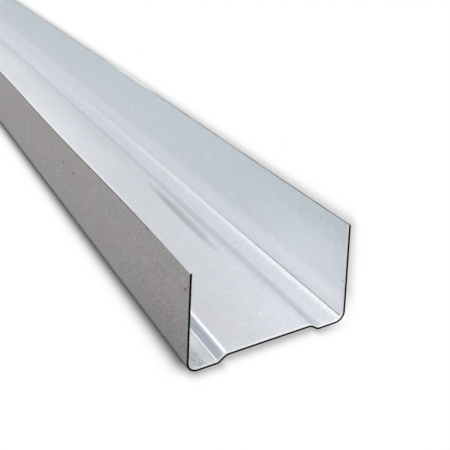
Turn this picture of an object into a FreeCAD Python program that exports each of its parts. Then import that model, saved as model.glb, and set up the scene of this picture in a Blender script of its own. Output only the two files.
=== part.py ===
import FreeCAD, Part
import math
import os

# Driving dimensions, in millimetres and degrees
track_length = 3000.0          # one stock length
web_width = 48.0               # across the outsides of the two lower corners
flange_height = 30.0           # underside of the web to the flange edges
sheet_thickness = 0.55         # galvanised strip
corner_inside_radius = 2.5     # bend between the web and each flange
toe_in_angle = 1.5             # lean of each flange over the web
edge_strip_width = 8.8         # outside of the corner to the foot of the step
step_run = 2.3                 # foot of the step to its head, across the web
step_height = 1.7              # rise of the web's middle over its edge strips
step_inside_radius = 0.8       # bends at the foot and the head of the step

# Values that follow from them
half_sheet = sheet_thickness / 2
toe_in = math.radians(toe_in_angle)
corner_turn = math.pi / 2 + toe_in
corner_middle_radius = corner_inside_radius + half_sheet
corner_outside_radius = corner_inside_radius + sheet_thickness
step_middle_radius = step_inside_radius + half_sheet


# The right half of the sheet's middle line, from the flange edge to the head of the step
def half_section_corners():
    bend_centre_x = web_width / 2 - corner_outside_radius
    corner_x = bend_centre_x + corner_middle_radius * math.tan(corner_turn / 2)
    edge_z = flange_height - half_sheet * math.sin(toe_in)
    edge_x = corner_x - (edge_z - half_sheet) * math.tan(toe_in)
    foot_x = web_width / 2 - edge_strip_width
    head_x = foot_x - step_run
    return [
        FreeCAD.Vector(edge_x, 0, edge_z),
        FreeCAD.Vector(corner_x, 0, half_sheet),
        FreeCAD.Vector(foot_x, 0, half_sheet),
        FreeCAD.Vector(head_x, 0, half_sheet + step_height),
    ]


def mirrored(corners):
    return [FreeCAD.Vector(-corner.x, corner.y, corner.z) for corner in corners]


# Unit normals on the left of each straight run, which is the channel's inside
def left_normals(corners):
    normals = []
    for start, end in zip(corners, corners[1:]):
        along = (end - start).normalize()
        normals.append(FreeCAD.Vector(-along.z, 0, along.x))
    return normals


# One face of the sheet: the middle line moved sideways, with each bend on its own centre
def sheet_face(corners, bend_radii, sideways):
    normals = left_normals(corners)
    start = corners[0] + normals[0] * sideways
    edges = []
    for corner, before, after, radius in zip(corners[1:], normals, normals[1:], bend_radii):
        side = math.copysign(1, after.cross(before).y)  # 1 where the bend's centre is on the left
        mitre = (before + after) / (1 + before.dot(after))
        centre = corner + mitre * side * radius
        reach = sideways - side * radius
        bend_start = centre + before * reach
        bend_middle = centre + (before + after).normalize() * reach
        bend_end = centre + after * reach
        edges.append(Part.LineSegment(start, bend_start).toShape())
        edges.append(Part.Arc(bend_start, bend_middle, bend_end).toShape())
        start = bend_end
    end = corners[-1] + normals[-1] * sideways
    edges.append(Part.LineSegment(start, end).toShape())
    return edges


# The sheet cut square at both flange edges
def track_section():
    right_half = half_section_corners()
    corners = mirrored(right_half) + right_half[::-1]
    half_radii = [corner_middle_radius, step_middle_radius, step_middle_radius]
    bend_radii = half_radii + half_radii[::-1]
    inside = sheet_face(corners, bend_radii, half_sheet)
    outside = sheet_face(corners, bend_radii, -half_sheet)
    edges = inside + outside
    for end in (0, -1):
        cut = (inside[end].Vertexes[end].Point, outside[end].Vertexes[end].Point)
        edges.append(Part.LineSegment(*cut).toShape())
    return Part.Face(Part.Wire(Part.__sortEdges__(edges)))


# The section rolled out along the track, centred on its length
def track_channel():
    section = track_section()
    section.translate(FreeCAD.Vector(0, -track_length / 2, 0))
    return section.extrude(FreeCAD.Vector(0, track_length, 0))


os.makedirs("parts", exist_ok=True)
channel = track_channel()
channel.exportStep("parts/track_channel.step")
print("track channel volume", round(channel.Volume), "mm3, valid", channel.isValid())
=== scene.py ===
import math
import bpy
import numpy as np
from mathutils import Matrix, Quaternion, Vector


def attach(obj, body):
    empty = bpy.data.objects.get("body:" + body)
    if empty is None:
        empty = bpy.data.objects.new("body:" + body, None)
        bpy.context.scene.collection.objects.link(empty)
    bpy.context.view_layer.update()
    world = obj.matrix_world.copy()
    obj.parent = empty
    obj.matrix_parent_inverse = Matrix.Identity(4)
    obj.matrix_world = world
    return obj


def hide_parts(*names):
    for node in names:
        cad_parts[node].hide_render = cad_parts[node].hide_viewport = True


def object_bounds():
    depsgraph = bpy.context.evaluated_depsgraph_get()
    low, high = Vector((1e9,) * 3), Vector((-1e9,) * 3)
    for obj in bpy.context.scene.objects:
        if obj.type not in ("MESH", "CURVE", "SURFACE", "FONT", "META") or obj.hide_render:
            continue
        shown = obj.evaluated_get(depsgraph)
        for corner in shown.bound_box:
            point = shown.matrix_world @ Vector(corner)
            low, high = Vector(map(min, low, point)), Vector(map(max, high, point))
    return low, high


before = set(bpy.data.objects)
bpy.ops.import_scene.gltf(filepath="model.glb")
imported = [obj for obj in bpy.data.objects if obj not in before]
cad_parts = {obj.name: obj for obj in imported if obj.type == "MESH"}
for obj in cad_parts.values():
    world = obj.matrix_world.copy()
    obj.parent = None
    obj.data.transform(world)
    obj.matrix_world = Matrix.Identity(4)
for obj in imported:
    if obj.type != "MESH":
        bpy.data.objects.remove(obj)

cadLow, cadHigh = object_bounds()
mm = 0.001
print("frame loaded:", list(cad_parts))


# shape of the rolled track; width, height and length come from the frame
trackShape = {
    "sheet": 0.55 * mm,                 # strip gauge
    "cornerRadius": 2.5 * mm,           # inside of the bend between web and flange
    "toeIn": math.radians(1.5),         # lean of each flange over the web
    "edgeStrip": 8.8 * mm,              # outside of the corner to the foot of the step
    "stepRun": 2.3 * mm,
    "stepHeight": 1.7 * mm,
    "footRadius": 0.8 * mm,             # inside of the bend at the foot of the step
    "headRadius": 2.2 * mm,             # and of the softer one at its head
    "bendGuard": 0.1 * mm,              # narrow strip beside each bend, which keeps the flats' shading flat
    # mesh steps across each flat and round each bend
    "steps": {"flange": 12, "corner": 14, "strip": 4, "foot": 6, "slope": 1, "head": 8, "web": 12},
    "stations": 300,                    # along the track
    "endCrowding": 2.6,                 # how much closer the stations stand at the cut ends
    "edgeEase": 0.02 * mm,              # rounding of the slit and sheared edges
    "sharpAngle": math.radians(28),     # edges that turn by more are shaded sharp
    "cutRoll": (0.04 * mm, 0.45 * mm),  # how deep and how long the shears drew the inside face down
    "rollStations": (0.0, 0.12, 0.26, 0.42, 0.62, 1.0),     # shares of that length
    "cutLean": (1.81 * mm, 0.0),        # how far the left and right flange edge stand out at the near cut
    "leanFade": 60 * mm,
    # slow sway of the flange edges, as a long and a short wave
    "flangeWave": (0.10 * mm, 0.05 * mm),
    "flangeWaveLength": (530 * mm, 171 * mm),
    "flangePhase": (0.6, 2.1),          # left and right, in radians
    # more sway at the near left: height, length, where it has gone
    "leftSway": (0.40 * mm, 160 * mm, 220 * mm),
    # outwards along the near right: width, where it starts, is full and has gone
    "rightSway": (0.54 * mm, 20 * mm, 160 * mm, 900 * mm),
    # shallow hollows along the raised middle, as a long wave and a lower short one
    "webWave": 0.05 * mm,
    "webWaveLength": (370 * mm, 131 * mm),
    "webPhase": 1.2,
    "webShortShare": 0.6,
}
nearCutY = cadLow[1] + max(trackShape["cutLean"])   # near end of the web and of the right flange
zincFinish, slitFinish, shearFinish = range(3)      # the finishes in their order on the track


# The middle line of the sheet: each run has a length and a turn spread evenly over its steps, and the
# points are the running sum of chords, chord = step * sinc(half turn) along the mean direction.
def sectionLine(width, height, shape):
    half = shape["sheet"] / 2
    outer = shape["cornerRadius"] + shape["sheet"]
    cornerMiddle = shape["cornerRadius"] + half
    footMiddle, headMiddle = shape["footRadius"] + half, shape["headRadius"] + half
    cornerTurn = math.pi / 2 + shape["toeIn"]
    stepTurn = math.atan2(shape["stepHeight"], shape["stepRun"])
    footTangent, headTangent = footMiddle * math.tan(stepTurn / 2), headMiddle * math.tan(stepTurn / 2)
    flangeTop = height - half * math.sin(shape["toeIn"])
    flangeFoot = outer + cornerMiddle * math.sin(shape["toeIn"])
    flange = (flangeTop - flangeFoot) / math.cos(shape["toeIn"])
    strip = shape["edgeStrip"] - outer - footTangent
    slope = math.hypot(shape["stepRun"], shape["stepHeight"]) - footTangent - headTangent
    web = width - 2 * (shape["edgeStrip"] + shape["stepRun"]) - 2 * headTangent
    steps, guard = shape["steps"], shape["bendGuard"]
    guardRun = (guard, 0.0, 1)
    sideRuns = [
        (flange - guard, 0.0, steps["flange"]), guardRun,
        (cornerMiddle * cornerTurn, cornerTurn, steps["corner"]),
        guardRun, (strip - 2 * guard, 0.0, steps["strip"]), guardRun,
        (footMiddle * stepTurn, stepTurn, steps["foot"]),
        guardRun, (slope - 2 * guard, 0.0, steps["slope"]), guardRun,
        (headMiddle * stepTurn, -stepTurn, steps["head"]),
        guardRun,
    ]
    runs = sideRuns + [(web - 2 * guard, 0.0, steps["web"])] + sideRuns[::-1]
    length, turn, count = (np.array(column) for column in zip(*runs))
    stepLength = np.repeat(length / count, count)
    stepAngle = np.repeat(turn / count, count)
    heading = np.concatenate([[0.0], np.cumsum(stepAngle)]) - cornerTurn
    chord = stepLength * np.sinc(stepAngle / 2 / np.pi)
    meanHeading = heading[:-1] + stepAngle / 2
    travel = np.stack([chord * np.cos(meanHeading), chord * np.sin(meanHeading)], 1)
    line = np.concatenate([np.zeros((1, 2)), np.cumsum(travel, 0)])
    line += [-line[-1, 0] / 2, flangeTop - line[0, 1]]
    return line, heading


# The closed outline of the sheet: inside face, right slit edge, outside face, left slit edge.
# Each point is the middle line with a small shift along its tangent, and has an offset along its normal.
def sheetRing(line, heading, shape):
    half, ease = shape["sheet"] / 2, shape["edgeEase"]
    count = len(line)
    last = count - 1
    inside = np.arange(count)
    index = np.concatenate([inside, [last, last], inside[::-1], [0, 0]])
    bare = half - ease
    offset = np.concatenate([np.full(count, half), [bare, -bare], np.full(count, -half), [-bare, bare]])
    pull = np.zeros(count)
    pull[0], pull[-1] = ease, -ease
    shift = np.concatenate([pull, [0, 0], pull[::-1], [0, 0]])
    tangent = np.stack([np.cos(heading), np.sin(heading)], 1)[index]
    normal = np.stack([-tangent[:, 1], tangent[:, 0]], 1)
    walked = np.concatenate([[0.0], np.cumsum(np.linalg.norm(np.diff(line, axis=0), axis=1))])
    fromSlit = np.minimum(walked, walked[-1] - walked)[index]
    return line[index] + tangent * shift[:, None], normal, offset, fromSlit


# Stations along the track: y = half length * tanh(k v) / tanh(k), closer together at the cut ends,
# with a few more over the rolled-over edge of each cut
def stationPlaces(length, shape):
    v = np.linspace(-1, 1, shape["stations"])
    y = length / 2 * np.tanh(shape["endCrowding"] * v) / math.tanh(shape["endCrowding"])
    roll = shape["cutRoll"][1] * np.array(shape["rollStations"])
    return np.concatenate([y[0] + roll, y[1:-1], y[-1] - roll[::-1]])


# sine of the way along the track, in wave lengths
def wave(y, length, phase=0.0):
    return np.sin(2 * np.pi * y / length + phase)


# 0 at the start and 1 at the end, share^2 * (3 - 2 share) between them
def smoothStep(value, start, end):
    share = np.clip((value - start) / (end - start), 0, 1)
    return share ** 2 * (3 - 2 * share)


# Sideways move of the flanges: slow waves * (share of the height)^2, inwards on each side.
# Near the cut the left one sways more, and further along the right one bows out.
def flangeSway(x, y, share, fromNear, shape):
    phase = np.where(x < 0, *shape["flangePhase"])
    longHeight, shortHeight = shape["flangeWave"]
    longWave, shortWave = shape["flangeWaveLength"]
    sway = longHeight * wave(y, longWave, phase) + shortHeight * wave(y, shortWave, 2 * phase)
    height, length, gone = shape["leftSway"]
    near = np.clip(1 - fromNear / gone, 0, 1)
    sway = sway + np.where(x < 0, height, 0.0) * near * (2 - near) * wave(fromNear, length)
    width, start, full, end = shape["rightSway"]
    bow = smoothStep(fromNear, start, full) * smoothStep(fromNear, end, full)
    sway = sway - np.where(x > 0, width, 0.0) * bow
    return -np.sign(x) * share ** 2 * sway


# Lift of the raised middle: slow waves * (1 - (x / half width)^2)
def webLift(x, y, halfWidth, shape):
    crown = np.clip(1 - (x / halfWidth) ** 2, 0, 1)
    longWave, shortWave = shape["webWaveLength"]
    hollow = wave(y, longWave, shape["webPhase"]) + shape["webShortShare"] * wave(y, shortWave)
    return shape["webWave"] * crown * hollow


# Move along the track at the near cut: the most lean less (lean * share of the height), fading inwards
def cutSetBack(x, share, fromNear, shape):
    lean = np.where(x < 0, *shape["cutLean"]) * share
    fade = np.clip(1 - fromNear / shape["leanFade"], 0, 1)
    return (max(shape["cutLean"]) - lean) * fade


# The small moves that rolling and cutting left in the sheet, across, along and up
def rolledWaves(x, y, z, low, high, shape):
    foot = shape["cornerRadius"] + shape["sheet"]
    share = np.clip((z - foot) / (high[2] - foot), 0, 1)
    fromNear = y - low[1]
    sway = flangeSway(x, y, share, fromNear, shape)
    setBack = cutSetBack(x, share, fromNear, shape)
    lift = webLift(x, y, high[0] - shape["edgeStrip"] - shape["stepRun"], shape) * (z < foot)
    return np.stack([sway, setBack, lift], -1)


# The sheet's points, stations by outline: outline + normal * offset, held between the two faces.
# At a cut the inside face falls by depth * (1 - way / reach)^2, and the outside face is only eased.
def sheetPoints(outline, normal, offset, y, fromCut, shape):
    half, ease = shape["sheet"] / 2, shape["edgeEase"]
    depth, reach = shape["cutRoll"]
    inside = half - depth * np.clip(1 - fromCut / reach, 0, 1) ** 2
    outside = half - ease * np.clip(1 - fromCut / ease, 0, 1)
    sheet = np.clip(offset[None], -outside[:, None], inside[:, None])
    place = outline[None] + normal[None] * sheet[..., None]
    x, z = place[..., 0], place[..., 1]
    return x, np.broadcast_to(y[:, None], x.shape), z


# Quads between each station and the next, for count points on each face and around in the outline.
# A cut end is the strip of quads between the two faces, with one more at each slit edge.
def sheetFaces(count, around, along):
    i, j = np.meshgrid(np.arange(around), np.arange(along - 1))
    i, j = i.ravel(), j.ravel()
    nextI = (i + 1) % around
    walls = np.stack([j * around + i, j * around + nextI, (j + 1) * around + nextI, (j + 1) * around + i], 1)
    # the three walls round each slit edge
    slit = np.isin(i, [count - 1, count, count + 1, around - 3, around - 2, around - 1])
    k = np.arange(count - 1)
    partner = around - 3 - k
    strip = np.stack([k, partner, partner - 1, k + 1], 1)
    edges = np.array([[count - 1, count + 2, count + 1, count], [0, around - 1, around - 2, around - 3]])
    nearEnd = np.concatenate([strip, edges])
    farEnd = nearEnd[:, ::-1] + (along - 1) * around
    wallFinish = np.where(slit, slitFinish, zincFinish)
    endFinish = np.full(len(nearEnd) + len(farEnd), shearFinish)
    return np.concatenate([walls, nearEnd, farEnd]), np.concatenate([wallFinish, endFinish])


def trackMesh(name, low, high, shape):
    line, heading = sectionLine(high[0] - low[0], high[2] - low[2], shape)
    outline, normal, offset, fromSlit = sheetRing(line, heading, shape)
    y = stationPlaces(high[1] - low[1], shape)
    fromCut = np.minimum(y - y[0], y[-1] - y)
    place = sheetPoints(outline, normal, offset, y, fromCut, shape)
    points = np.stack(place, -1) + rolledWaves(*place, low, high, shape)
    faces, finish = sheetFaces(len(line), len(outline), len(y))

    mesh = bpy.data.meshes.new(name)
    mesh.from_pydata(points.reshape(-1, 3), [], faces.tolist())
    mesh.polygons.foreach_set("material_index", finish)
    mesh.polygons.foreach_set("use_smooth", np.ones(len(faces), bool))
    # distances from the cuts and the slit edges, and which face a point is on, for the finishes
    measures = {"fromCut": fromCut[:, None], "fromSlit": fromSlit[None], "outerSide": (offset < 0)[None]}
    for measure, value in measures.items():
        spread = np.broadcast_to(value, points.shape[:2]).astype(float)
        mesh.attributes.new(measure, "FLOAT", "POINT").data.foreach_set("value", spread.ravel())
    mesh.update()
    mesh.set_sharp_from_angle(angle=shape["sharpAngle"])
    return mesh


track = bpy.data.objects.new("rolled_track", trackMesh("rolled_track", cadLow, cadHigh, trackShape))
bpy.context.scene.collection.objects.link(track)
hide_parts("track_channel")
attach(track, "root")
print("track rolled:", len(track.data.polygons), "faces")


white = (1, 1, 1, 1)
black = (0, 0, 0, 1)


def newMaterial(name):
    material = bpy.data.materials.new(name)
    material.use_nodes = True
    tree = material.node_tree
    return material, tree, tree.nodes["Principled BSDF"]


def addNode(tree, kind, values=(), **settings):
    node = tree.nodes.new(kind)
    for key, value in settings.items():
        setattr(node, key, value)
    for socket, value in dict(values).items():
        if isinstance(value, bpy.types.NodeSocket):
            tree.links.new(value, node.inputs[socket])
        else:
            node.inputs[socket].default_value = value
    return node


def objectPlace(tree):
    return addNode(tree, "ShaderNodeTexCoord").outputs["Object"]


def axesOf(tree, place):
    return addNode(tree, "ShaderNodeSeparateXYZ", {0: place}).outputs


def surfaceValue(tree, name):
    return addNode(tree, "ShaderNodeAttribute", attribute_name=name).outputs["Fac"]


def calc(tree, operation, *values):
    return addNode(tree, "ShaderNodeMath", enumerate(values), operation=operation).outputs[0]


def vectorCalc(tree, operation, *values):
    node = addNode(tree, "ShaderNodeVectorMath", enumerate(values), operation=operation)
    return node.outputs["Value" if operation in ("LENGTH", "DOT_PRODUCT") else "Vector"]


def scaled(tree, colour, level):
    return addNode(tree, "ShaderNodeVectorMath", {0: colour, "Scale": level}, operation="SCALE").outputs[0]


def product(tree, total, *shares):
    for share in shares:
        total = calc(tree, "MULTIPLY", total, share)
    return total


def opposite(tree, share):
    return calc(tree, "SUBTRACT", 1.0, share)


def blended(tree, share, first, second, kind="MIX"):
    values = {"Factor": share, "A": first, "B": second}
    return addNode(tree, "ShaderNodeMix", values, data_type="RGBA", blend_type=kind).outputs["Result"]


def ranged(tree, value, fromLow, fromHigh, toLow=0.0, toHigh=1.0):
    values = {"Value": value, "From Min": fromLow, "From Max": fromHigh, "To Min": toLow, "To Max": toHigh}
    return addNode(tree, "ShaderNodeMapRange", values, interpolation_type="SMOOTHSTEP").outputs[0]


# smooth way from the first value to the second as the share goes from 0 to 1
def between(tree, share, ends):
    return ranged(tree, share, 0.0, 1.0, *ends)


# level + (pattern - 1/2) * depth
def varied(tree, level, pattern, depth):
    return calc(tree, "MULTIPLY_ADD", calc(tree, "SUBTRACT", pattern, 0.5), depth, level)


def bumped(tree, shader, height, depth):
    bump = addNode(tree, "ShaderNodeBump", {"Height": height, "Distance": depth})
    tree.links.new(bump.outputs[0], shader.inputs["Normal"])


# soft patches, fine grain and rolling streaks, shared by all the finishes
grainLook = {
    "spread": (0.28, 0.72),     # the part of the noise's range that is drawn out to 0 and 1
    "patterns": {
        # the input for its size, its scale along the track, where less draws it out, and noise detail
        "Patches": ("Patch Size", 1.0, 3.0),
        "Grain": ("Grain Size", 0.65, 1.0),
        "Streaks": ("Streak Width", 0.008, 2.0),
    },
}


def zincGrainGroup(look):
    group = bpy.data.node_groups.new("zincGrain", "ShaderNodeTree")
    group.interface.new_socket("Place", in_out="INPUT", socket_type="NodeSocketVector")
    for size, _, _ in look["patterns"].values():
        group.interface.new_socket(size, in_out="INPUT", socket_type="NodeSocketFloat")
    for name in look["patterns"]:
        group.interface.new_socket(name, in_out="OUTPUT", socket_type="NodeSocketFloat")
    given = addNode(group, "NodeGroupInput").outputs
    result = addNode(group, "NodeGroupOutput")
    low, high = look["spread"]
    for name, (size, alongScale, detail) in look["patterns"].items():
        place = vectorCalc(group, "MULTIPLY", given["Place"], (1.0, alongScale, 1.0))
        scale = calc(group, "DIVIDE", 1.0, given[size])
        noise = addNode(group, "ShaderNodeTexNoise", {"Vector": place, "Scale": scale, "Detail": detail})
        values = {"Value": noise.outputs["Fac"], "From Min": low, "From Max": high}
        group.links.new(addNode(group, "ShaderNodeMapRange", values).outputs[0], result.inputs[name])
    return group


zincGrain = zincGrainGroup(grainLook)


def grained(tree, place, look):
    values = {"Place": place, "Patch Size": look["patchSize"], "Grain Size": look["grainSize"],
              "Streak Width": look["streakWidth"]}
    return addNode(tree, "ShaderNodeGroup", values, node_tree=zincGrain).outputs


# marks on the sheet, in millimetres and degrees: place across the web, along from the near cut and up, half
# sizes, turn about the upright, the share of the size that has the full depth, and the depth
zincMarks = {
    "ovalCore": 0.2,                # where a mark gives no core of its own
    "lineCore": 0.3,
    "brokenGrain": (0.55, 0.25),    # grain at which a broken mark sets in and is full
    "dark": [
        # the long rub beside the right step
        {"place": (9.75, 76, 2.25), "size": (2.15, 36, 1.5), "turn": -1.1, "core": 0.45, "depth": 0.25},
        {"place": (9.5, 80, 2.25), "size": (0.9, 22, 1.5), "turn": -1.6, "depth": 0.10},
        {"place": (9.2, 140, 2.25), "size": (4.6, 100, 1.5), "turn": -0.4, "depth": 0.05},
        {"place": (13.1, 80, 2.0), "size": (0.8, 30, 1.5), "turn": 0.3, "depth": 0.14},
        # a slightly duller stretch, faint scuffs and specks on the web
        {"place": (2, 105, 2.25), "size": (9, 50, 2), "depth": 0.035},
        {"place": (-2.6, 7.6, 2.25), "size": (1.3, 0.3, 1), "turn": 8, "depth": 0.18},
        {"place": (-7.6, 5.2, 2.25), "size": (0.28, 0.3, 1), "depth": 0.35},
        {"place": (-2.1, 16.3, 2.25), "size": (0.25, 0.25, 1), "depth": 0.30},
        # rough patch at the end of the left strip
        {"place": (-19.6, 3.6, 0.55), "size": (2.4, 7.5, 1), "turn": 8, "depth": 0.40, "broken": True},
        # specks on the outside of the left flange and the inside of the right one
        {"place": (-23.44, 0.63, 24.5), "size": (0.5, 0.6, 0.5), "core": 0.5, "depth": 0.9},
        {"place": (-23.6, 98.2, 20.5), "size": (0.5, 2.0, 0.6), "core": 0.4, "depth": 0.50},
        {"place": (-23.6, 86.8, 20.8), "size": (0.5, 1.4, 0.6), "core": 0.4, "depth": 0.55},
        {"place": (23.15, 1.15, 12.6), "size": (0.45, 0.4, 0.45), "core": 0.4, "depth": 0.60},
        # painted shade on the end of the right step and low at the end of the left flange, both also a
        # little rougher; darker and rougher along the right strip
        {"place": (14.2, 3, 1.4), "size": (1.7, 18, 1.4), "depth": 0.17},
        {"place": (-23.6, -4, 2), "size": (2.5, 60, 20), "depth": 0.19},
        {"place": (18.5, 150, 0.55), "size": (4.5, 150, 1), "depth": 0.06},
    ],
    "light": [
        # painted light: paler at the end of the right flange, of the web and of the left strip, and along
        # the web
        {"place": (23.3, 0, 14), "size": (1.2, 60, 16), "depth": 0.11},
        {"place": (0, 0, 2.25), "size": (24, 60, 2), "depth": 0.04},
        {"place": (-17.1, 17, 0.55), "size": (2.2, 14, 1), "depth": 0.20},
        {"place": (-5, 195, 2.25), "size": (10, 85, 2), "depth": 0.06},
        # and painted light low all along the right flange
        {"line": (23.3, 5.5), "width": 4.5, "depth": 0.10},
    ],
    "scratched": [
        {"place": (3.75, 11.1, 2.25), "size": (0.5, 1.0, 1), "turn": 12, "core": 0.5, "depth": 0.9},
        {"place": (2.7, 12.3, 2.25), "size": (1.6, 0.35, 1), "turn": -31, "depth": 0.5},
    ],
    # lines along the track: place across and up, half width, and for some how far from the near cut they are
    # full and how far they have gone.
    # The rubbed lines are smoother where the rolls burnished the bends, and paler as a painted highlight
    "rubbedAndPaintedHighlight": [
        {"line": (-12.45, 2.2), "width": 0.95, "depth": 0.16},
        {"line": (-15.35, 0.6), "width": 0.40, "depth": 0.16},
        {"line": (22.68, 1.24), "width": 0.38, "depth": 0.115, "until": (50, 150)},
    ],
    # painted shade along the track: in the crease at the foot of the right step, on both step slopes, over
    # the head of the right step, a dark reflection above the right bend's highlight and lower on that bend
    # further along, and low on the left bend where it meets the floor
    "paintedShadeLines": [
        {"line": (15.95, 0.55), "width": 0.85, "depth": 0.17, "until": (100, 700)},
        {"line": (14.4, 1.3), "width": 1.8, "depth": 0.10, "until": (40, 300)},
        {"line": (-14.3, 1.3), "width": 1.3, "depth": 0.10},
        {"line": (22.93, 1.52), "width": 0.36, "depth": 0.42, "until": (25, 110)},
        {"line": (-23.8, 1.4), "width": 2.6, "depth": 0.14},
        {"line": (-23.68, 1.68), "width": 1.1, "depth": 0.40},
        {"line": (21.85, 0.72), "width": 1.0, "depth": 0.08, "until": (90, 5)},
        {"line": (11.5, 2.2), "width": 3.2, "depth": 0.07, "until": (170, 30)},
        {"line": (12.3, 2.15), "width": 1.3, "depth": 0.06, "until": (60, 110)},
    ],
    "tintAndPaintedShade": [
        # a greenish-grey patch at the end of the left strip
        {"place": (-19.9, 4, 0.55), "size": (1.9, 8, 1), "depth": 0.30, "tone": (0.46, 0.50, 0.44, 1)},
        # painted bluish shade on the left step's slope
        {"line": (-14.2, 1.4), "width": 1.5, "depth": 0.45, "tone": (0.60, 0.67, 0.78, 1)},
    ],
}


# a soft-edged oval mark: 1 in its middle, 0 at its rim
def ovalMark(tree, place, mark):
    x, y, z = mark["place"]
    centre = (x * mm, nearCutY + y * mm, z * mm)
    size = tuple(side * mm for side in mark["size"])
    turn = (0, 0, math.radians(mark.get("turn", 0)))
    values = {"Vector": place, "Location": centre, "Rotation": turn, "Scale": size}
    local = addNode(tree, "ShaderNodeMapping", values, vector_type="TEXTURE").outputs[0]
    return ranged(tree, vectorCalc(tree, "LENGTH", local), 1.0, mark.get("core", zincMarks["ovalCore"]))


# a soft-edged line along the track
def lineMark(tree, place, mark):
    across, up = mark["line"]
    centre = (-across * mm, 0.0, -up * mm)
    reach = vectorCalc(tree, "LENGTH", vectorCalc(tree, "MULTIPLY_ADD", place, (1.0, 0.0, 1.0), centre))
    width = mark["width"] * mm
    mask = ranged(tree, reach, width, zincMarks["lineCore"] * width)
    if "until" in mark:
        full, gone = (nearCutY + stretch * mm for stretch in mark["until"])
        mask = product(tree, mask, ranged(tree, axesOf(tree, place)["Y"], gone, full))
    return mask


# depth of every mark of a kind, added up; broken ones show only where the grain is low
def markDepth(tree, place, marks, grain):
    total = 0.0
    for mark in marks:
        mask = lineMark(tree, place, mark) if "line" in mark else ovalMark(tree, place, mark)
        if mark.get("broken"):
            mask = product(tree, mask, ranged(tree, grain, *zincMarks["brokenGrain"]))
        total = calc(tree, "MULTIPLY_ADD", mask, mark["depth"], total)
    return total


zincLook = {
    "pale": (0.865, 0.885, 0.915, 1),
    "dull": (0.828, 0.852, 0.888, 1),
    "greenTint": (0.95, 1.0, 0.965, 1),         # faint change of hue from patch to patch
    "violetTint": (1.0, 0.968, 1.0, 1),
    "tintSize": 14 * mm,
    "tintDetail": 1.0,
    "tintSpread": (0.35, 0.65),                 # noise at which the hue is all green and all violet
    "tintDepth": (0.4, 1.0),                    # inside and outside of the track
    "outerPaintedReflection": (1.0, 0.983, 0.955, 1),        # painted reflection: the outside is a little warmer
    "flangeTint": (0.978, 1.038, 1.032, 1),     # the right flange's inside is cooler towards its top
    "coolAcross": (20 * mm, 22 * mm),
    "coolUp": (0.0, 27 * mm),
    "patchSize": 5 * mm,
    "grainSize": 0.42 * mm,
    "streakWidth": 0.9 * mm,
    "grainDepth": (0.14, 0.48),                 # inside and outside of the track
    "streakDepth": 0.02,
    "bumpDepth": 0.0025 * mm,
    "roughness": (0.365, 0.40),
    "dulled": 0.25,                             # how much rougher the dark marks are
    "burnish": 0.9,                             # and how much smoother the rubbed lines
    "metallic": 0.4,
    # how far from an edge each of these has gone, and is full
    "lip": (0.22 * mm, 0.10 * mm),              # painted shade: the dark of each cut, drawn onto the zinc
    "rim": (1.0 * mm, 0.8 * mm),                # painted highlight: a white rim behind it, inside the track
    "edgeShade": (0.8 * mm, 0.3 * mm),          # darker line outside, under the slit edges
    "edgeStart": (8 * mm, 35 * mm),             # where that line sets in, along from a cut
    "edgeDepth": 0.5,
    "paintedCutShade": (0.02, 0.02, 0.022, 1),
}


# soft patches with a faint change of hue, a painted warm reflection on the outside, and cooler up the right
# flange
def zincTint(tree, place, patches, outer, inner, look):
    tone = blended(tree, patches, look["dull"], look["pale"])
    values = {"Vector": place, "Scale": 1 / look["tintSize"], "Detail": look["tintDetail"]}
    drift = addNode(tree, "ShaderNodeTexNoise", values).outputs["Fac"]
    tint = blended(tree, ranged(tree, drift, *look["tintSpread"]), look["greenTint"], look["violetTint"])
    tone = blended(tree, between(tree, outer, look["tintDepth"]), tone, tint, "MULTIPLY")
    tone = blended(tree, outer, tone, look["outerPaintedReflection"], "MULTIPLY")
    across, _, up = axesOf(tree, place)
    cool = product(tree, ranged(tree, across, *look["coolAcross"]), ranged(tree, up, *look["coolUp"]), inner)
    return blended(tree, cool, tone, look["flangeTint"], "MULTIPLY")


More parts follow.
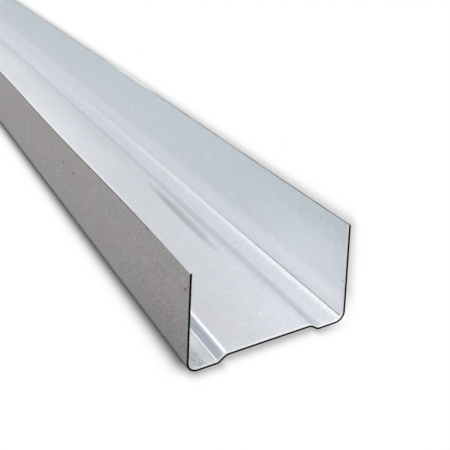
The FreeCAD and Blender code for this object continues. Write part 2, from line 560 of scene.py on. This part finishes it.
def zincSheet(look):
    material, tree, shader = newMaterial("zincSheet")
    place = objectPlace(tree)
    zinc = grained(tree, place, look)
    fromCut = surfaceValue(tree, "fromCut")
    outer = surfaceValue(tree, "outerSide")
    inner = opposite(tree, outer)
    underSlit = ranged(tree, surfaceValue(tree, "fromSlit"), *look["edgeShade"])
    edge = product(tree, outer, underSlit, ranged(tree, fromCut, *look["edgeStart"]))
    dark = markDepth(tree, place, zincMarks["dark"] + zincMarks["paintedShadeLines"], zinc["Grain"])
    dark = calc(tree, "MULTIPLY_ADD", edge, look["edgeDepth"], dark)
    rubbedAndPaintedHighlight = markDepth(tree, place, zincMarks["rubbedAndPaintedHighlight"], zinc["Grain"])
    light = calc(tree, "ADD", rubbedAndPaintedHighlight, markDepth(tree, place, zincMarks["light"], zinc["Grain"]))

    # grain, streaks and marks make the zinc a little lighter or darker; many of the marks are painted shade
    # and painted light
    level = varied(tree, 1.0, zinc["Grain"], between(tree, outer, look["grainDepth"]))
    level = varied(tree, level, zinc["Streaks"], look["streakDepth"])
    level = calc(tree, "ADD", calc(tree, "SUBTRACT", level, dark), light)
    tone = scaled(tree, zincTint(tree, place, zinc["Patches"], outer, inner, look), level)
    for tintMark in zincMarks["tintAndPaintedShade"]:
        tone = blended(tree, markDepth(tree, place, [tintMark], zinc["Grain"]), tone, tintMark["tone"])

    # bare bright metal on the scratch, a painted highlight on the rim, then the painted shade of the cut's
    # dark lip
    bare = product(tree, ranged(tree, fromCut, *look["rim"]), inner)
    bare = calc(tree, "MAXIMUM", bare, markDepth(tree, place, zincMarks["scratched"], zinc["Grain"]))
    tone = blended(tree, bare, tone, white)
    tone = blended(tree, ranged(tree, fromCut, *look["lip"]), tone, look["paintedCutShade"])
    tree.links.new(tone, shader.inputs["Base Color"])

    roughness = between(tree, zinc["Patches"], look["roughness"])
    roughness = calc(tree, "MULTIPLY_ADD", dark, look["dulled"], roughness)
    roughness = calc(tree, "MULTIPLY_ADD", rubbedAndPaintedHighlight, -look["burnish"], roughness)
    tree.links.new(roughness, shader.inputs["Roughness"])
    metallic = calc(tree, "MULTIPLY_ADD", bare, -look["metallic"], look["metallic"])
    tree.links.new(metallic, shader.inputs["Metallic"])
    bumped(tree, shader, zinc["Grain"], look["bumpDepth"])
    return material


# slit edges: a painted highlight on the left edge, dimmer close to the cuts, and painted shade on most of
# the right one, which keeps the painted highlight over one stretch
slitLook = {
    "paintedEdgeHighlight": (0.97, 0.985, 1.0, 1),
    "dull": (0.70, 0.72, 0.75, 1),              # the painted highlight is dimmer close to the cuts
    "dullUntil": (25 * mm, 60 * mm),
    "paintedEdgeShade": (0.20, 0.205, 0.215, 1),
    "greyPatches": (1.0, 0.75),                 # how much painted shade the right edge has, from patch to patch
    "brightStretch": (130 * mm, 177 * mm),      # where the right edge keeps the painted highlight, along from the near cut
    "stretchSoft": 12 * mm,
    "middleSoft": 1 * mm,                       # softness of the line between left and right
    "streakLevel": (0.94, 1.05),
    "patchSize": 9 * mm,
    "grainSize": 0.2 * mm,
    "streakWidth": 0.12 * mm,
    "roughness": (0.3, 0.45),
    "metallic": 0.05,
    "bumpDepth": 0.004 * mm,
}


def slitEdge(look):
    material, tree, shader = newMaterial("slitEdge")
    place = objectPlace(tree)
    zinc = grained(tree, place, look)
    across, along, _ = axesOf(tree, place)
    start, end = (nearCutY + stretch for stretch in look["brightStretch"])
    soft = look["stretchSoft"]
    setIn = ranged(tree, along, start - soft, start + soft)
    kept = product(tree, setIn, ranged(tree, along, end + soft, end - soft))
    right = ranged(tree, across, -look["middleSoft"], look["middleSoft"])
    # painted shade on the right edge outside that stretch
    paintedEdgeShade = product(tree, right, opposite(tree, kept), between(tree, zinc["Patches"], look["greyPatches"]))
    clean = ranged(tree, surfaceValue(tree, "fromCut"), *look["dullUntil"])
    tone = blended(tree, paintedEdgeShade, blended(tree, clean, look["dull"], look["paintedEdgeHighlight"]), look["paintedEdgeShade"])
    tone = scaled(tree, tone, between(tree, zinc["Streaks"], look["streakLevel"]))
    tree.links.new(tone, shader.inputs["Base Color"])
    tree.links.new(between(tree, zinc["Grain"], look["roughness"]), shader.inputs["Roughness"])
    shader.inputs["Metallic"].default_value = look["metallic"]
    bumped(tree, shader, zinc["Streaks"], look["bumpDepth"])
    return material


# sheared ends: near black, a painted shade for the cut faces, with fine marks of the shears
shearLook = {
    "torn": (0.003, 0.003, 0.003, 1),
    "cut": (0.016, 0.016, 0.017, 1),
    "patchSize": 3 * mm,
    "grainSize": 0.12 * mm,
    "streakWidth": 0.2 * mm,
    "roughness": (0.6, 0.85),
    "metallic": 0.2,
    "specular": 0.1,
    "bumpDepth": 0.01 * mm,
}


def shearedEnd(look):
    material, tree, shader = newMaterial("shearedEnd")
    zinc = grained(tree, objectPlace(tree), look)
    share = product(tree, zinc["Grain"], zinc["Patches"])
    tree.links.new(blended(tree, share, look["torn"], look["cut"]), shader.inputs["Base Color"])
    tree.links.new(between(tree, zinc["Grain"], look["roughness"]), shader.inputs["Roughness"])
    shader.inputs["Metallic"].default_value = look["metallic"]
    shader.inputs["Specular IOR Level"].default_value = look["specular"]
    bumped(tree, shader, zinc["Grain"], look["bumpDepth"])
    return material


for finish in (zincSheet(zincLook), slitEdge(slitLook), shearedEnd(shearLook)):
    track.data.materials.append(finish)
print("finishes made:", [finish.name for finish in track.data.materials])


# camera found from the photo, measured from the middle of the near cut's underside
cameraPose = {
    "place": (-79.751 * mm, -124.227 * mm, 113.513 * mm),
    "yaw": math.radians(28.1618),
    "pitch": math.radians(27.8115),
    "roll": math.radians(-0.1686),
    "lens": 55.969,
    "sensor": 36.0,
    "clipStart": 10 * mm,
}


def placeCamera(pose):
    data = bpy.data.cameras.new("trackCamera")
    data.lens = pose["lens"]
    data.sensor_width = pose["sensor"]
    data.clip_start = pose["clipStart"]
    camera = bpy.data.objects.new("trackCamera", data)
    bpy.context.scene.collection.objects.link(camera)
    camera.location = Vector((0, nearCutY, cadLow[2])) + Vector(pose["place"])
    level = math.cos(pose["pitch"])
    ahead = Vector((math.sin(pose["yaw"]) * level, math.cos(pose["yaw"]) * level, -math.sin(pose["pitch"])))
    camera.rotation_mode = "QUATERNION"
    camera.rotation_quaternion = ahead.to_track_quat("-Z", "Y") @ Quaternion((0, 0, 1), pose["roll"])
    bpy.context.scene.camera = camera


placeCamera(cameraPose)
print("camera placed")


floorLook = {
    "size": 60.0,                           # in metres
    "under": 0.02 * mm,                     # gap below the track, so that the two faces don't flicker
    "roughness": 0.9,
    "specular": 0.1,
    # the floor's colour as the metal reflects it, at the near cut and further along: a painted falloff of
    # light, darker at the near cut
    "seenByMetal": ((0.125, 0.112, 0.105, 1), (0.215, 0.192, 0.182, 1)),
    "seenAlong": 160 * mm,
    # each shade is the share of light lost beside the track, and how far out it fades
    "leftShade": (0.86, 3.0 * mm),
    "leftContact": (0.38, 0.30 * mm),       # narrow dark line right under the left bend
    "endShade": (0.50, 2.4 * mm),
    "rightShade": (0.34, 4.2 * mm),
    "footWidth": 22.6 * mm,                 # half width close to the floor, where the left shade starts
    "contactWidth": 22.84 * mm,             # and a little higher up the bend, where the narrow line starts
    "leftFrom": (-18 * mm, -22 * mm),       # across: where the left shades set in
    "leftEnds": (2 * mm, -6 * mm),          # past the cuts: where they have gone, and are full
    "webGap": 1.6 * mm,                     # how far under the raised middle the end shade starts
    "endFrom": (-26 * mm, -21 * mm),        # across: where the end shade sets in on the left
    "endUntil": (26 * mm, 15 * mm),         # and on the right
    "endUnder": (-5 * mm, -2.5 * mm),       # past the cuts: where it sets in under the track
    "shadowShift": (36.2 * mm, 44.6 * mm),  # how far the right flange's shadow falls across and along
    "frontEdge": 1.9 * mm,                  # softness of that shadow's slanted ends
    "rightFrom": (20 * mm, 25 * mm),        # across: where it sets in
    "rightStart": (-2 * mm, 14 * mm),       # along from the near cut: where it sets in
}


# share left at a distance: exp(-(distance / reach)^2), and all of it before the edge
def fading(tree, way, reach):
    share = calc(tree, "DIVIDE", calc(tree, "MAXIMUM", way, 0.0), reach)
    return calc(tree, "EXPONENT", product(tree, share, share, -1.0))


# Light left on the floor: 1 less each shade, which fades with the distance outside the track's outline
def floorShade(tree, look):
    across, along, _ = axesOf(tree, objectPlace(tree))
    fromNear = calc(tree, "SUBTRACT", along, nearCutY)
    fromFar = calc(tree, "SUBTRACT", along, cadHigh[1])
    pastEnd = calc(tree, "MAXIMUM", calc(tree, "MULTIPLY", fromNear, -1.0), fromFar)

    beside = product(tree, ranged(tree, across, *look["leftFrom"]), ranged(tree, pastEnd, *look["leftEnds"]))
    shades = []
    for width, shade in (("footWidth", "leftShade"), ("contactWidth", "leftContact")):
        depth, reach = look[shade]
        outLeft = calc(tree, "SUBTRACT", -look[width], across)
        shades.append(product(tree, fading(tree, outLeft, reach), beside, depth))

    # at the cuts the floor comes into sight a little way under the raised middle
    depth, reach = look["endShade"]
    foot = cadHigh[0] - trackShape["edgeStrip"]
    head = foot - trackShape["stepRun"]
    gap = ranged(tree, calc(tree, "ABSOLUTE", across), foot, head, 0.0, look["webGap"])
    end = fading(tree, calc(tree, "ADD", pastEnd, gap), reach)
    sides = product(tree, ranged(tree, across, *look["endFrom"]), ranged(tree, across, *look["endUntil"]))
    shades.append(product(tree, end, sides, ranged(tree, pastEnd, *look["endUnder"]), depth))

    # on the right the outline is swept across and along, as a shadow is
    depth, reach = look["rightShade"]
    shiftX, shiftY = look["shadowShift"]
    slant = math.hypot(shiftX, shiftY)
    outRight = calc(tree, "SUBTRACT", across, cadHigh[0] + shiftX)
    side = calc(tree, "MULTIPLY", calc(tree, "SUBTRACT", across, cadHigh[0]), shiftY / slant)
    outFront = calc(tree, "MULTIPLY_ADD", fromNear, -shiftX / slant, side)
    outBack = calc(tree, "MULTIPLY_ADD", fromFar, shiftX / slant, calc(tree, "MULTIPLY", side, -1.0))
    slanted = [fading(tree, way, look["frontEdge"]) for way in (outFront, outBack)]
    setIn = ranged(tree, across, *look["rightFrom"])
    started = ranged(tree, fromNear, *look["rightStart"])
    shades.append(product(tree, fading(tree, outRight, reach), *slanted, setIn, started, depth))

    light = 1.0
    for shade in shades:
        light = product(tree, opposite(tree, shade), light)
    return light


# white paper to the camera, and darker in what the metal reflects
def makeFloor(look):
    half = look["size"] / 2
    z = cadLow[2] - look["under"]
    corners = [(-half, -half, z), (half, -half, z), (half, half, z), (-half, half, z)]
    mesh = bpy.data.meshes.new("floor")
    mesh.from_pydata(corners, [], [(0, 1, 2, 3)])
    floor = bpy.data.objects.new("floor", mesh)
    bpy.context.scene.collection.objects.link(floor)
    material, tree, shader = newMaterial("floorPaper")
    light = floorShade(tree, look)
    along = axesOf(tree, objectPlace(tree))["Y"]
    paper = blended(tree, ranged(tree, along, nearCutY, nearCutY + look["seenAlong"]), *look["seenByMetal"])
    tree.links.new(blended(tree, light, black, paper), shader.inputs["Base Color"])
    shader.inputs["Roughness"].default_value = look["roughness"]
    shader.inputs["Specular IOR Level"].default_value = look["specular"]
    glow = addNode(tree, "ShaderNodeEmission", {"Color": white, "Strength": light})
    seen = addNode(tree, "ShaderNodeLightPath").outputs["Is Camera Ray"]
    both = addNode(tree, "ShaderNodeMixShader", {0: seen, 1: shader.outputs[0], 2: glow.outputs[0]})
    tree.links.new(both.outputs[0], tree.nodes["Material Output"].inputs["Surface"])
    mesh.materials.append(material)


# soft studio light; directions are turned from +Y towards +X and raised from the floor, in degrees.
# The base and seven lobes were first fitted to the photo's tones. Five lobes still have the fitted
# colours, and the rest were then changed or set one by one.
skyLook = {
    "base": (0.39, 0.385, 0.375),
    "lobes": [
        # turn, rise, tightness, colour
        (-45, 42, 8.0, (0.97, 0.92, 0.96)),
        (-135, 42, 8.0, (0.94, 0.89, 0.89)),
        (135, 14, 8.0, (1.44, 1.54, 1.56)),
        (0, 85, 8.0, (0.46, 0.475, 0.53)),
        (-20, 46, 40.0, (0.34, 0.36, 0.40)),
        (14, 20, 40.0, (0.74, 0.71, 0.72)),
        (-70, 45, 40.0, (0.48, 0.47, 0.47)),
        (2, 45, 120.0, (1.50, 1.50, 1.50)),
    ],
}


# Sky radiance: base + sum of colour * exp(tightness * (cosine to the lobe's middle - 1)),
# plain white to the camera
def makeSky(look):
    world = bpy.data.worlds.new("studio")
    world.use_nodes = True
    bpy.context.scene.world = world
    tree = world.node_tree
    direction = addNode(tree, "ShaderNodeTexCoord").outputs["Generated"]
    total = addNode(tree, "ShaderNodeRGB").outputs[0]
    total.default_value = (*look["base"], 1)
    for turn, rise, tightness, colour in look["lobes"]:
        turn, rise = math.radians(turn), math.radians(rise)
        middle = (math.sin(turn) * math.cos(rise), math.cos(turn) * math.cos(rise), math.sin(rise))
        facing = vectorCalc(tree, "DOT_PRODUCT", direction, middle)
        amount = calc(tree, "EXPONENT", calc(tree, "MULTIPLY_ADD", facing, tightness, -tightness))
        total = vectorCalc(tree, "ADD", total, scaled(tree, colour, amount))
    seen = addNode(tree, "ShaderNodeLightPath").outputs["Is Camera Ray"]
    tree.links.new(blended(tree, seen, total, white), tree.nodes["Background"].inputs["Color"])


makeFloor(floorLook)
makeSky(skyLook)
bpy.context.scene.view_settings.view_transform = "Standard"
print("stage set")
